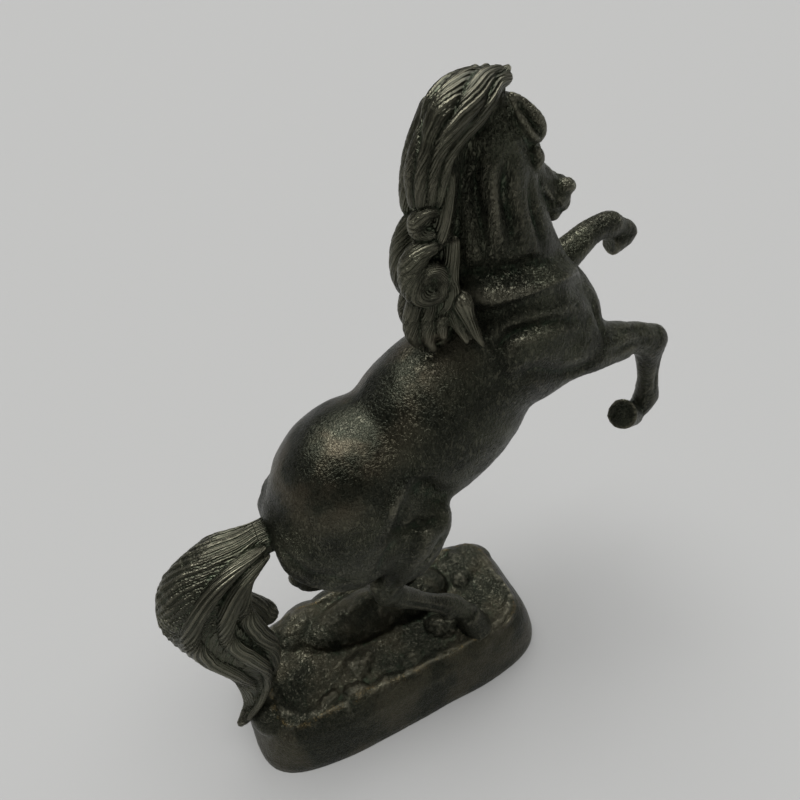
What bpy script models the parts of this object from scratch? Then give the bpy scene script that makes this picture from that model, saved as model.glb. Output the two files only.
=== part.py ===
"""Rearing horse statuette: hollow bronze castings pinned together and bolted to a terrace base.

Metres, +Z up. The horse faces +X and its right side faces -Y. The base's foot rim lies in z = 0.
"""

import math

import bmesh
import bpy
from mathutils import Matrix, Vector

MM = 0.001

# ---------------------------------------------------------------- driving dimensions
BASE_LENGTH = 197 * MM      # foot of the base, along X
BASE_WIDTH = 100 * MM       # foot of the base, along Y
BASE_RISE = 33 * MM         # height of the base's upper edge
BASE_WALL = 5 * MM          # metal left between the base's skin and its hollow
HORSE_RISE = 315 * MM       # from the base's upper edge to the top of the mane
SHELL = 6.5 * MM              # metal left between the trunk's skin and its core
PIN_DIAMETER = 4 * MM       # dowels that join two castings
PIN_LENGTH = 18 * MM
STUD_DIAMETER = 5 * MM      # threaded rods that hold the feet down
NUT_WIDTH = 8 * MM          # across flats
NUT_HEIGHT = 4 * MM
WASHER_DIAMETER = 11 * MM
WASHER_HEIGHT = 1.2 * MM
GAP = 0.3 * MM              # clearance between neighbouring pieces

# Grain of the wax: the size of one voxel, and how many triangles each form keeps.
HORSE_GRAIN = 2.4 * MM
HORSE_TRIANGLES = 8200
BASE_GRAIN = 3.0 * MM
BASE_TRIANGLES = 2000
CORE_GRAIN = 4.0 * MM
CORE_TRIANGLES = 400

# The horse is laid out in millimetres on a figure of this size, then scaled to HORSE_RISE.
FIGURE_RISE = 315.0
FIGURE_GROUND = 33.0
FIGURE_BASE = (197.0, 100.0)
FIGURE_MIDDLE = (21.5, -10.0)    # stands over MIDDLE on the base, whatever the horse's size
MIDDLE = (20.0, 0.0)

SCALE = HORSE_RISE / (FIGURE_RISE * MM)


def ground(x, y, z):
    """A point of the base, in millimetres of the figure's base, as a place in metres."""
    return Vector((x * BASE_LENGTH / FIGURE_BASE[0],
                   y * BASE_WIDTH / FIGURE_BASE[1],
                   z * BASE_RISE / FIGURE_GROUND))


def horse(x, y, z):
    """A point of the figure, in millimetres, as a place on the statuette in metres."""
    off = Vector((x - FIGURE_MIDDLE[0], y - FIGURE_MIDDLE[1], z - FIGURE_GROUND))
    return ground(*MIDDLE, FIGURE_GROUND) + off * MM * SCALE


# ---------------------------------------------------------------- scene and collections
for old in list(bpy.data.objects):
    bpy.data.objects.remove(old, do_unlink=True)

parts = bpy.data.collections.new("rearing_horse_statuette")
cutters = bpy.data.collections.new("cutters")
for collection in (parts, cutters):
    bpy.context.scene.collection.children.link(collection)


def material(name, colour, roughness, metallic):
    made = bpy.data.materials.new(name)
    made.use_nodes = True
    shader = made.node_tree.nodes["Principled BSDF"]
    shader.inputs["Base Color"].default_value = (*colour, 1)
    shader.inputs["Roughness"].default_value = roughness
    shader.inputs["Metallic"].default_value = metallic
    made.diffuse_color = (*colour, 1)
    return made


PATINA = material("dark_green_patina_bronze", (0.08, 0.09, 0.07), 0.42, 1.0)


# ---------------------------------------------------------------- wax shapes
def blob(form, centre, radii, pitch=0, yaw=0, place=horse, scale=SCALE, less=0):
    """An egg of wax: radii along X, Y and Z before it is pitched nose-up and turned, all less a wall."""
    turn = Matrix.Rotation(math.radians(yaw), 4, "Z") @ Matrix.Rotation(math.radians(-pitch), 4, "Y")
    shape = Matrix.Diagonal((*(r * MM * scale - less for r in radii), 1))
    bmesh.ops.create_uvsphere(form, u_segments=32, v_segments=20, radius=1,
                              matrix=Matrix.Translation(place(*centre)) @ turn @ shape)


def smooth_path(stations, steps=6):
    """Catmull-Rom points through (place, radius) stations."""
    ends = [stations[0], *stations, stations[-1]]
    path = []
    for a, b, c, d in zip(ends, ends[1:], ends[2:], ends[3:]):
        for i in range(steps):
            t = i / steps
            weights = (-t + 2 * t**2 - t**3, 2 - 5 * t**2 + 3 * t**3,
                       t + 4 * t**2 - 3 * t**3, t**3 - t**2)
            place = sum((w * p[0] for w, p in zip(weights, (a, b, c, d))), Vector()) / 2
            path.append((place, sum(w * p[1] for w, p in zip(weights, (a, b, c, d))) / 2))
    return [*path, stations[-1]]


def roll_of_wax(form, stations, flat=1.0, sides=16, less=0):
    """A tapering limb or lock with round ends, through (x, y, z, radius) stations.

    flat squeezes it across the horse, and less takes a wall off its radius.
    """
    path = smooth_path([(horse(*p), r * MM * SCALE - less) for *p, r in stations])
    turns = [2 * math.pi * k / sides for k in range(sides)]
    dome = [math.radians(angle) for angle in (75, 50, 25)]
    rings = []
    for i, (point, radius) in enumerate(path):
        along = (path[min(i + 1, len(path) - 1)][0] - path[max(i - 1, 0)][0]).normalized()
        side = (Vector((0, 1, 0)) - along * along.y).normalized()
        up = along.cross(side)
        steps = [(point, radius)]
        if i == 0:
            steps = [(point - along * (radius * math.sin(a)), radius * math.cos(a)) for a in dome] + steps
        if i == len(path) - 1:
            steps += [(point + along * (radius * math.sin(a)), radius * math.cos(a)) for a in dome[::-1]]
        for middle, r in steps:
            rings.append([form.verts.new(middle + side * (r * flat * math.cos(a)) + up * (r * math.sin(a)))
                          for a in turns])
    close_loft(form, rings)


def close_loft(form, rings):
    """Side faces between neighbouring rings, and a cap on each end."""
    for low, high in zip(rings, rings[1:]):
        for k in range(len(low)):
            form.faces.new((low[k - 1], low[k], high[k], high[k - 1]))
    form.faces.new(rings[0][::-1])
    form.faces.new(rings[-1])


# The trunk's eggs: centre, radii, pitch. The core is the same eggs less the wall.
TRUNK = [((32, 0, 196), (62, 34, 41), 42), ((64, 0, 231), (42, 33, 34), 44), ((-13, 0, 174), (44, 36, 37), 50)]
NECK = [(72, 0, 240, 33), (61, 0, 270, 27), (54, 0, 298, 20), (49, 0, 318, 15.5), (52, 0, 330, 11)]
NECK_FLAT = 0.75


def wax_trunk(form):
    for centre, radii, pitch in TRUNK:
        blob(form, centre, radii, pitch)
    blob(form, (88, 0, 245), (21, 26, 23), pitch=40)
    blob(form, (-34, 0, 164), (26, 20, 22), pitch=45)
    for side in (-1, 1):
        blob(form, (70, side * 20, 237), (29, 14, 31), pitch=35)
        blob(form, (-33, side * 14, 148), (22, 17, 31), pitch=30)
        blob(form, (-12, side * 22, 160), (28, 16, 38), pitch=-28)


def wax_neck(form):
    roll_of_wax(form, NECK, flat=NECK_FLAT)
    blob(form, (54, 0, 327), (11, 9.5, 12))
    blob(form, (64, 1, 315), (16, 9, 13), pitch=-45, yaw=12)
    blob(form, (79, 3, 307), (17, 7.5, 8.5), pitch=-36, yaw=10)
    blob(form, (89, 5, 295), (9, 8, 9), pitch=-36, yaw=10)
    for side in (-1, 1):
        roll_of_wax(form, [(62, side * 7, 326, 4), (56, side * 8, 331, 4), (50, side * 8, 335, 2.5)])


def wax_mane(form):
    roll_of_wax(form, [(56, 0, 338, 6.5), (44, 0, 341, 9), (33, -1, 334, 11), (28, -1, 319, 10),
                       (26, -1, 300, 10), (23, -1, 281, 11.5), (23, -1, 266, 9), (28, -1, 250, 8.5),
                       (34, -1, 240, 9)], flat=0.8)


def wax_forelegs(form):
    roll_of_wax(form, [(84, -22, 232, 14), (100, -24, 231, 11.5), (120, -24, 229, 9.5), (134, -24, 225, 9),
                       (139, -24, 221, 9)])
    roll_of_wax(form, [(139, -24, 221, 9), (144, -24, 208, 7), (149, -24, 194, 6.5), (152, -24, 182, 7.5),
                       (149, -24, 173, 7), (144, -24, 170, 7), (140, -24.5, 172, 8.5)])
    roll_of_wax(form, [(98, 22, 240, 12), (112, 22, 247, 9.5), (128, 22, 259, 7.5), (142, 23, 261, 7.5)])
    roll_of_wax(form, [(142, 23, 261, 7.5), (151, 24, 254, 6), (157, 24, 249, 6), (159, 24, 246, 6.5)])


def wax_hind_legs(form):
    roll_of_wax(form, [(8, -24, 154, 19), (8, -26, 136, 14), (-2, -24, 112, 9), (-7, -23, 101, 9.5)])
    roll_of_wax(form, [(-7, -23, 101, 9.5), (6, -24, 84, 7.5), (20, -26, 71, 7), (36, -28, 57, 8.5),
                       (44, -31, 48, 8.5), (48, -34, 36, 10.5)])
    roll_of_wax(form, [(-2, 22, 150, 18), (-15, 21, 126, 13.5), (-35, 15, 98, 9), (-43, 12, 85, 9)])
    roll_of_wax(form, [(-43, 12, 85, 9), (-26, 12, 77, 7.5), (-8, 12, 69, 6.5), (8, 12, 61, 8.5),
                       (16, 12, 55, 8.5), (20, 12, 44, 10.5)])


def wax_tail(form):
    roll_of_wax(form, [(-46, 0, 157, 11), (-64, 0, 154, 11), (-84, -1, 149, 17), (-98, -3, 131, 20.5),
                       (-93, -8, 101, 19.5), (-83, -14, 69, 15), (-88, -19, 42, 8), (-96, -22, 31, 5),
                       (-100, -23, 28, 3.5)], flat=0.75)
    roll_of_wax(form, [(-92, 0, 118, 8), (-82, 0, 106, 10), (-73, 0, 94, 10), (-68, 0, 88, 8)])


def superellipse(form, length, width, z, power=4.2, sides=72):
    """A ring of points round a soft-cornered rectangle at height z."""
    ring = []
    for k in range(sides):
        c, s = math.cos(2 * math.pi * k / sides), math.sin(2 * math.pi * k / sides)
        x = math.copysign(abs(c) ** (2 / power), c) * length / 2
        y = math.copysign(abs(s) ** (2 / power), s) * width / 2
        ring.append(form.verts.new((x, y, z)))
    return ring


def skirt(form, levels):
    """A closed loft of soft-cornered rectangles through (inset, z) levels."""
    close_loft(form, [superellipse(form, BASE_LENGTH - 2 * inset, BASE_WIDTH - 2 * inset, z)
                      for inset, z in levels])


# The base's skin: inset from the foot and share of the rise, from the foot up.
SKIRT = [(0, 0), (0.4 * MM, 0.12), (4 * MM, 0.45), (8 * MM, 0.75), (13 * MM, 0.97), (20 * MM, 1.04)]
BELOW = 6 * MM              # the wax runs this far below the foot, then is sawn flat


def wax_ground(form):
    skirt(form, [(0, -BELOW), *((inset, share * BASE_RISE) for inset, share in SKIRT)])
    for centre, radii in (((-10, 14, 24), (52, 20, 22)), ((18, 14, 26), (34, 20, 20)),
                          ((66, 20, 26), (24, 16, 11)), ((48, -27, 24), (22, 15, 12)),
                          ((-84, -12, 24), (13, 16, 12))):
        blob(form, centre, radii, place=ground, scale=1)


def wax_core(form):
    """The sand core that leaves the trunk and the neck hollow."""
    for centre, radii, pitch in TRUNK:
        blob(form, centre, radii, pitch, less=SHELL)
    roll_of_wax(form, NECK[:4], flat=NECK_FLAT, less=SHELL)


def mesh_object(name, form, collection):
    mesh = bpy.data.meshes.new(name)
    form.to_mesh(mesh)
    form.free()
    obj = bpy.data.objects.new(name, mesh)
    collection.objects.link(obj)
    return obj


def cast_form(name, waxes, grain, triangles, rounds=6):
    """One smooth skin over all the wax, thinned to about the given number of triangles."""
    form = bmesh.new()
    for wax in waxes:
        wax(form)
    obj = mesh_object(name, form, cutters)
    remesh = obj.modifiers.new("grain", "REMESH")
    remesh.mode = "VOXEL"
    remesh.voxel_size = grain
    smooth = obj.modifiers.new("smooth", "SMOOTH")
    smooth.factor = 0.5
    smooth.iterations = rounds
    graph = bpy.context.evaluated_depsgraph_get()
    count = 2 * len(obj.evaluated_get(graph).data.polygons)
    thin = obj.modifiers.new("thin", "DECIMATE")
    thin.ratio = min(1, triangles / count)
    graph = bpy.context.evaluated_depsgraph_get()
    skin = bpy.data.meshes.new_from_object(obj.evaluated_get(graph))
    obj.modifiers.clear()
    obj.data = skin
    return hide(obj)


def hide(obj):
    """Marks a helper: it shapes the pieces and isn't one."""
    obj.hide_render = True
    obj.display_type = "WIRE"
    return obj


horse_form = cast_form("horse_form", (wax_trunk, wax_neck, wax_mane, wax_forelegs, wax_hind_legs, wax_tail),
                       HORSE_GRAIN, HORSE_TRIANGLES)
base_form = cast_form("base_form", (wax_ground,), BASE_GRAIN, BASE_TRIANGLES)
core_form = cast_form("core_form", (wax_core,), CORE_GRAIN, CORE_TRIANGLES)


# ---------------------------------------------------------------- cutters
def region(name, outline, low_y, high_y):
    """A block with the given X-Z outline, in figure millimetres, between two values of Y."""
    form = bmesh.new()
    face = form.faces.new([form.verts.new(horse(x, low_y, z)) for x, z in outline])
    grown = bmesh.ops.extrude_face_region(form, geom=[face])
    far = horse(0, high_y, 0) - horse(0, low_y, 0)
    bmesh.ops.translate(form, vec=far, verts=[v for v in grown["geom"] if isinstance(v, bmesh.types.BMVert)])
    bmesh.ops.recalc_face_normals(form, faces=form.faces)
    return hide(mesh_object(name, form, cutters))


def rod(name, start, along, length, diameter, collection, sides=24):
    """A plain cylinder from start, along a direction."""
    form = bmesh.new()
    turn = Vector((0, 0, 1)).rotation_difference(along).to_matrix().to_4x4()
    middle = start + along.normalized() * (length / 2)
    bmesh.ops.create_cone(form, cap_ends=True, segments=sides, radius1=diameter / 2, radius2=diameter / 2,
                          depth=length, matrix=Matrix.Translation(middle) @ turn)
    return mesh_object(name, form, collection)


def cut(obj, cutter, operation="DIFFERENCE"):
    boolean = obj.modifiers.new(cutter.name, "BOOLEAN")
    boolean.operation = operation
    boolean.solver = "EXACT"
    boolean.object = cutter
    return obj


def copy_form(form, name):
    obj = bpy.data.objects.new(name, form.data.copy())
    parts.objects.link(obj)
    obj.data.materials.clear()
    obj.data.materials.append(PATINA)
    return obj


def finish(obj, colour):
    obj.data.materials.clear()
    obj.data.materials.append(colour)
    return obj


# ---------------------------------------------------------------- castings
UP, FORWARD = Vector((0, 0, 1)), Vector((1, 0, 0))
EASE = GAP / (MM * SCALE)   # the clearance, in figure millimetres

# Where the figure is sawn into castings, in figure millimetres.
NECK_CUT = 262
RIGHT_FORE_CUT = 110
LEFT_FORE_CUT = 114
RIGHT_HIND_CUT = 116
LEFT_HIND_CUT = 111
TAIL_CUT = -63
CHIN = 278                  # the head stays above this and the left foreleg below it


def saw_blocks(ease):
    """The block round each casting that leaves the trunk, its joint face drawn back by ease."""
    neck = NECK_CUT - ease
    return {
        "neck_and_head": ([(-20, neck), (106, neck), (106, CHIN), (160, CHIN), (160, 380), (-20, 380)], -60, 60),
        "right_foreleg": ([(RIGHT_FORE_CUT - ease, 140), (190, 140), (190, 250), (RIGHT_FORE_CUT - ease, 250)],
                          -60, -11),
        "left_foreleg": ([(LEFT_FORE_CUT - ease, 225), (190, 225), (190, CHIN - EASE), (LEFT_FORE_CUT - ease, CHIN - EASE)],
                         4, 60),
        "right_hind_leg": ([(-53, 0), (80, 0), (80, RIGHT_HIND_CUT + ease), (-53, RIGHT_HIND_CUT + ease)], -60, -6),
        "left_hind_leg": ([(-53, 0), (80, 0), (80, LEFT_HIND_CUT + ease), (-53, LEFT_HIND_CUT + ease)], -6 + EASE, 60),
        "tail": ([(-150, 0), (-53 - EASE, 0), (-53 - EASE, 100), (TAIL_CUT + ease, 108), (TAIL_CUT + ease, 200),
                  (-150, 200)], -60, 60),
    }


castings = {}
trunk = copy_form(horse_form, "trunk_casting")
castings["trunk"] = trunk
for name, outline in saw_blocks(EASE).items():
    cut(trunk, region(name + "_saw", *outline))
for name, outline in saw_blocks(0).items():
    casting = copy_form(horse_form, name + "_casting")
    cut(casting, region(name + "_block", *outline), "INTERSECT")
    castings[name] = casting
cut(trunk, core_form)
cut(castings["neck_and_head"], core_form)

# The feet are ground to the terrain, a clearance above it.
terrain = bpy.data.objects.new("terrain", base_form.data.copy())
cutters.objects.link(terrain)
hide(terrain)
raise_skin = terrain.modifiers.new("clearance", "DISPLACE")
raise_skin.strength = GAP
raise_skin.mid_level = 0
for name in ("right_hind_leg", "left_hind_leg", "tail"):
    cut(castings[name], terrain)

base = copy_form(base_form, "base_casting")
form = bmesh.new()
bmesh.ops.create_cube(form, size=1, matrix=Matrix.Translation((0, 0, -BASE_LENGTH / 2))
                      @ Matrix.Scale(BASE_LENGTH, 4) @ Matrix.Diagonal((2, 2, 1, 1)))
cut(base, hide(mesh_object("foot_saw", form, cutters)))

CEILING = BASE_RISE - BASE_WALL
form = bmesh.new()
skirt(form, [(BASE_WALL, -1.5 * BELOW), (BASE_WALL, 0.05 * BASE_RISE), (4 * MM + BASE_WALL, 0.4 * BASE_RISE),
             (9 * MM + BASE_WALL, CEILING - 3 * MM), (13 * MM + BASE_WALL, CEILING)])
cut(base, hide(mesh_object("base_hollow", form, cutters)))


# ---------------------------------------------------------------- pins
STEEL = material("steel_dowel", (0.42, 0.42, 0.40), 0.35, 1.0)
BRASS = material("brass_fastener", (0.62, 0.48, 0.22), 0.35, 1.0)


def dowel(name, joint, along, *joined):
    """A pin half in each casting, in one drilled hole with clearance all round."""
    start = joint - along * (PIN_LENGTH / 2)
    finish(rod(name, start, along, PIN_LENGTH, PIN_DIAMETER, parts), STEEL)
    hole = hide(rod(name + "_hole", start - along * GAP, along, PIN_LENGTH + 2 * GAP,
                    PIN_DIAMETER + 2 * GAP, cutters))
    for casting in joined:
        cut(casting, hole)


neck_wall = SHELL / (MM * SCALE) / 2
neck_middle, neck_reach = 63.5, 27.5
dowel("neck_front_pin", horse(neck_middle + neck_reach - neck_wall, 0, NECK_CUT), UP,
      trunk, castings["neck_and_head"])
dowel("neck_back_pin", horse(neck_middle - neck_reach + neck_wall, 0, NECK_CUT), UP,
      trunk, castings["neck_and_head"])
dowel("right_foreleg_pin", horse(RIGHT_FORE_CUT, -24, 230.5), FORWARD, trunk, castings["right_foreleg"])
dowel("left_foreleg_pin", horse(LEFT_FORE_CUT, 22, 250), FORWARD, trunk, castings["left_foreleg"])
dowel("right_hind_leg_pin", horse(-1, -24.5, RIGHT_HIND_CUT), UP, trunk, castings["right_hind_leg"])
dowel("left_hind_leg_pin", horse(-23, 18, LEFT_HIND_CUT), UP, trunk, castings["left_hind_leg"])
dowel("tail_pin", horse(TAIL_CUT, 0, 157), FORWARD, trunk, castings["tail"])
dowel("tail_foot_pin", horse(-88, -19, 35), UP, castings["tail"], base)

# ---------------------------------------------------------------- studs, washers and nuts
STUD_IN_HOOF = 8 * MM


def ring(name, place, outer, height, sides):
    """A washer or nut round a stud, with its lower face at place."""
    blank = rod(name, place, UP, height, outer, parts, sides)
    bore = rod(name + "_bore", place - UP * height, UP, 3 * height, STUD_DIAMETER + 2 * GAP, cutters)
    return finish(cut(blank, hide(bore)), BRASS)


def hold_down(side, foot, sole, leg):
    """A stud from inside the hoof, down through the base, with a washer and a nut under it."""
    top = sole.z + STUD_IN_HOOF
    bottom = CEILING - GAP - WASHER_HEIGHT - GAP - NUT_HEIGHT - 2 * MM
    low = Vector((foot.x, foot.y, bottom))
    finish(rod(side + "_hoof_stud", low, UP, top - bottom, STUD_DIAMETER, parts), BRASS)
    hole = hide(rod(side + "_stud_hole", low, UP, top - bottom + GAP, STUD_DIAMETER + 2 * GAP, cutters))
    cut(leg, hole)
    cut(base, hole)
    washer = Vector((foot.x, foot.y, CEILING - GAP - WASHER_HEIGHT))
    ring(side + "_washer", washer, WASHER_DIAMETER, WASHER_HEIGHT, 32)
    nut = washer - UP * (GAP + NUT_HEIGHT)
    ring(side + "_nut", nut, NUT_WIDTH / math.cos(math.pi / 6), NUT_HEIGHT, 6)


hold_down("right", horse(48, -34, 0), horse(48, -34, 34), castings["right_hind_leg"])
hold_down("left", horse(20, 12, 0), horse(20, 12, 46), castings["left_hind_leg"])


# ---------------------------------------------------------------- stand it over the origin
bpy.context.view_layer.update()
graph = bpy.context.evaluated_depsgraph_get()
corners = [obj.matrix_world @ Vector(corner) for obj in parts.objects
           for corner in obj.evaluated_get(graph).bound_box]
middle = Vector([(min(c[i] for c in corners) + max(c[i] for c in corners)) / 2 for i in range(3)])
middle.z = 0
for obj in [*parts.objects, *cutters.objects]:
    obj.location -= middle
bpy.context.view_layer.update()
print("the base's middle is at", *(round(-v / MM, 3) for v in middle), "mm")
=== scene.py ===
# %% [markdown]
# # A rearing horse in dark patinated bronze
#
# The real statuette is a lost-wax casting: a sculptor builds up wax, smooths it, chases hair and
# veins into it, and a foundry saws the wax into sections, casts them hollow and pins them together.
# This script works in the same order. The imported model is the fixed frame: it holds every size, and
# its pins, studs, washers and nuts stay as they are. Each casting gets a finer skin in its place.

# %% Load the frame
import math

import bmesh
import bpy
import numpy as np
from mathutils import Matrix, Vector, noise


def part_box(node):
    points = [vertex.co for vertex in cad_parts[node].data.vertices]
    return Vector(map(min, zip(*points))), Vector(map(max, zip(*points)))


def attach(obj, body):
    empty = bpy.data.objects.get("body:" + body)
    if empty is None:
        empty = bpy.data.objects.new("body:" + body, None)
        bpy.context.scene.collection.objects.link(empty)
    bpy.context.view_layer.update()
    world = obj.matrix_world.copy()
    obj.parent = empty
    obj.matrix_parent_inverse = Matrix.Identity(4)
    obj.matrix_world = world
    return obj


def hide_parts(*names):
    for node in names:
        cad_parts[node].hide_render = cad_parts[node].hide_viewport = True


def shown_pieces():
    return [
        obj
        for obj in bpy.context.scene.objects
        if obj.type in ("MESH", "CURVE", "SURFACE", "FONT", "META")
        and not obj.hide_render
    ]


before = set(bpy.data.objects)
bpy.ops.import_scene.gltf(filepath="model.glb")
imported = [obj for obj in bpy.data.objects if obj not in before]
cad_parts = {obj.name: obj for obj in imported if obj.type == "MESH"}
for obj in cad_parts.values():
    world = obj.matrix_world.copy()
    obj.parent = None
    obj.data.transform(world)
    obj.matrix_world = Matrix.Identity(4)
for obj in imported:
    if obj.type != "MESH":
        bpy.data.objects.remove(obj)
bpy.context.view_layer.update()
base_low, base_high = (Vector(corner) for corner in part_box("base_casting"))

# %% [markdown]
# Sizes below are millimetres on the sculptor's turntable. Its zero is a little off the middle of the
# base, so that the horse's own midline is y = 0. Two helpers turn those millimetres into places in
# the frame and back, so a change of the base's place moves everything with it.

# %% Turntable millimetres
MM = 0.001
BASE_ON_TABLE = Vector((1.5, -10.0, 0.0))
BASE_MIDDLE = Vector(((base_low.x + base_high.x) / 2, (base_low.y + base_high.y) / 2, 0))
BASE_SIZE = (base_high - base_low) / MM


def at(x, y, z):
    """A place on the turntable, in millimetres, as a point of the frame in metres."""
    return (Vector((x, y, z)) - BASE_ON_TABLE) * MM + BASE_MIDDLE


def as_table(points):
    """Frame points, an n by 3 array in metres, as turntable millimetres."""
    return (points - np.array(BASE_MIDDLE)) / MM + np.array(BASE_ON_TABLE)


def as_frame(points):
    return (points - np.array(BASE_ON_TABLE)) * MM + np.array(BASE_MIDDLE)


print("the base is", [round(v, 1) for v in BASE_SIZE], "mm")

# %% [markdown]
# ## Wax
# Wax goes on as eggs and rolls. An egg is a stretched sphere for a muscle or a joint. A roll is a
# string of overlapping beads along a smooth path, for a limb or a lock of hair. A voxel remesh then
# pulls one skin over all of it, as a hot spatula does.

# %% Eggs and rolls
def egg(wax, centre, radii, pitch=0, yaw=0, roll_by=0):
    """A stretched sphere; radii run along X, Y and Z before it is rolled, pitched nose-up and turned."""
    turn = (Matrix.Rotation(math.radians(yaw), 4, "Z") @ Matrix.Rotation(math.radians(-pitch), 4, "Y")
            @ Matrix.Rotation(math.radians(roll_by), 4, "X"))
    size = Matrix.Diagonal((*(r * MM for r in radii), 1))
    piece = bmesh.new()
    bmesh.ops.create_uvsphere(piece, u_segments=24, v_segments=16, radius=1,
                              matrix=Matrix.Translation(at(*centre)) @ turn @ size)
    press_on(wax, piece)


def smooth_path(stations, spacing=1.0):
    """Catmull-Rom samples through rows of numbers whose first three are a place."""
    rows = [np.array(row, float) for row in stations]
    ends = [rows[0], *rows, rows[-1]]
    samples = []
    for a, b, c, d in zip(ends, ends[1:], ends[2:], ends[3:]):
        steps = max(2, int(np.linalg.norm(c[:3] - b[:3]) / spacing))
        for t in np.arange(steps) / steps:
            samples.append((a * (-t + 2 * t**2 - t**3) + b * (2 - 5 * t**2 + 3 * t**3)
                            + c * (t + 4 * t**2 - 3 * t**3) + d * (t**3 - t**2)) / 2)
    samples.append(rows[-1])
    return np.array(samples)


def roll(wax, stations, flat=1.0):
    """Beads through (x, y, z, radius) stations; flat squeezes them across the horse."""
    beads = bmesh.new()
    last = None
    for x, y, z, r in smooth_path(stations):
        place = np.array((x, y, z))
        if last is not None and np.linalg.norm(place - last) < 0.25 * r:
            continue
        last = place
        size = Matrix.Diagonal((r * MM, r * MM * flat, r * MM, 1))
        bmesh.ops.create_icosphere(beads, subdivisions=2, radius=1,
                                   matrix=Matrix.Translation(at(x, y, z)) @ size)
    press_on(wax, beads)


def press_on(wax, piece):
    """Adds one small piece of wax to the rest. Small pieces are quick to make on their own."""
    mesh = bpy.data.meshes.new("piece")
    piece.to_mesh(mesh)
    piece.free()
    wax.from_mesh(mesh)
    bpy.data.meshes.remove(mesh)


def skin_over(name, wax, grain, rounds):
    """One skin over all the wax: a voxel remesh, then rounds of smoothing."""
    mesh = bpy.data.meshes.new(name)
    wax.to_mesh(mesh)
    wax.free()
    obj = bpy.data.objects.new(name, mesh)
    bpy.context.scene.collection.objects.link(obj)
    remesh = obj.modifiers.new("remesh", "REMESH")
    remesh.mode = "VOXEL"
    remesh.voxel_size = grain * MM
    smooth = obj.modifiers.new("smooth", "SMOOTH")
    smooth.factor = 0.5
    smooth.iterations = rounds
    skin = bpy.data.meshes.new_from_object(obj.evaluated_get(bpy.context.evaluated_depsgraph_get()))
    bpy.data.objects.remove(obj, do_unlink=True)
    return skin


# %% [markdown]
# ## The big masses
# Trunk, neck and thighs are laid on first and smoothed hard at a coarse grain, so that they flow into
# each other. Working coarse to fine keeps the big forms soft and the small ones crisp.

# %% Trunk, neck and upper legs
SOFT_GRAIN = 2.4
masses = bmesh.new()
egg(masses, (32, 0, 196), (62, 34.5, 42), pitch=42)
egg(masses, (64, 0, 231), (42.5, 33.5, 35), pitch=44)
egg(masses, (-13, 0, 174.5), (45, 36, 38), pitch=50)
egg(masses, (88.5, 0, 246), (21.5, 26, 23), pitch=40)
egg(masses, (-34, 0, 164), (27, 20, 23), pitch=45)
for side in (-1, 1):
    egg(masses, (70, side * 20, 238), (30, 15, 31), pitch=35)
    egg(masses, (84, side * 22, 236), (20, 14, 17), pitch=20)
    egg(masses, (95, side * 13, 246), (13, 12, 15), pitch=30)
    egg(masses, (-33, side * 14, 148), (23, 17.5, 31), pitch=30)
    egg(masses, (-12, side * 22, 160), (29, 17, 39), pitch=-28)
roll(masses, [(73, 0, 241, 34), (61.5, 0, 270, 28), (54.5, 0, 298, 20.5), (50, 0, 318, 16.5),
              (53, 0, 330, 12)], flat=0.76)
roll(masses, [(84, -22, 232, 14.5), (100, -24, 231, 12.5), (120, -24, 228.5, 10)])
roll(masses, [(98, 22, 240, 12.5), (112, 22, 247.5, 10), (128, 22, 259.5, 8)])
roll(masses, [(8, -24, 154, 20), (8, -26, 136, 14.5), (0, -25, 116, 9.5)])
roll(masses, [(-2, 22, 150, 19), (-15, 21, 126, 14), (-33, 15.5, 101, 9.5)])
egg(masses, (16, -31, 158), (11, 10, 13), pitch=-20)
egg(masses, (6, 29.3, 152), (11, 10, 13), pitch=-20)
soft_skin = skin_over("masses", masses, SOFT_GRAIN, 14)
print("soft masses:", len(soft_skin.polygons), "faces")

# %% [markdown]
# ## Legs and hooves
# The forelegs are folded at the knee, the hind legs carry the horse. Below the knee and hock a leg is
# bone and tendon with hardly any flesh, so the stations are close together and the joints swell.

# %% Lower legs
detail = bmesh.new()
detail.from_mesh(soft_skin)
bmesh.ops.subdivide_edges(detail, edges=detail.edges[:], cuts=1, use_grid_fill=True, smooth=0.6)

# right foreleg: forearm, knee, cannon, fetlock, pastern
roll(detail, [(112, -24, 229.5, 9.5), (124, -24, 228, 8.6), (132, -24, 225.5, 8.4), (139, -24, 221, 9),
              (142, -24, 214.5, 7.6), (144.5, -24, 206, 6.2), (148, -24, 195, 5.8),
              (150.5, -24, 187, 6.4), (152, -24, 181, 7.2), (150.5, -24, 174.5, 6.6),
              (146.5, -24, 170.5, 6)], flat=0.88)
egg(detail, (139.5, -24, 222), (9.4, 7.8, 8.6), pitch=-35)
egg(detail, (154, -24, 179), (5.2, 5.4, 6.5), pitch=-20)
# left foreleg, folded tighter
roll(detail, [(118, 22, 252.5, 9), (128, 22, 259.5, 7.6), (137, 22.5, 262, 7.2), (143, 23, 261, 7.6),
              (150, 23.5, 259, 5.4), (155.5, 24, 256.5, 5), (159, 24, 253.5, 5.2),
              (157.5, 24, 250.5, 5)], flat=0.88)
egg(detail, (143, 23, 261.5), (7.8, 6.6, 7), pitch=-20)
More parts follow.
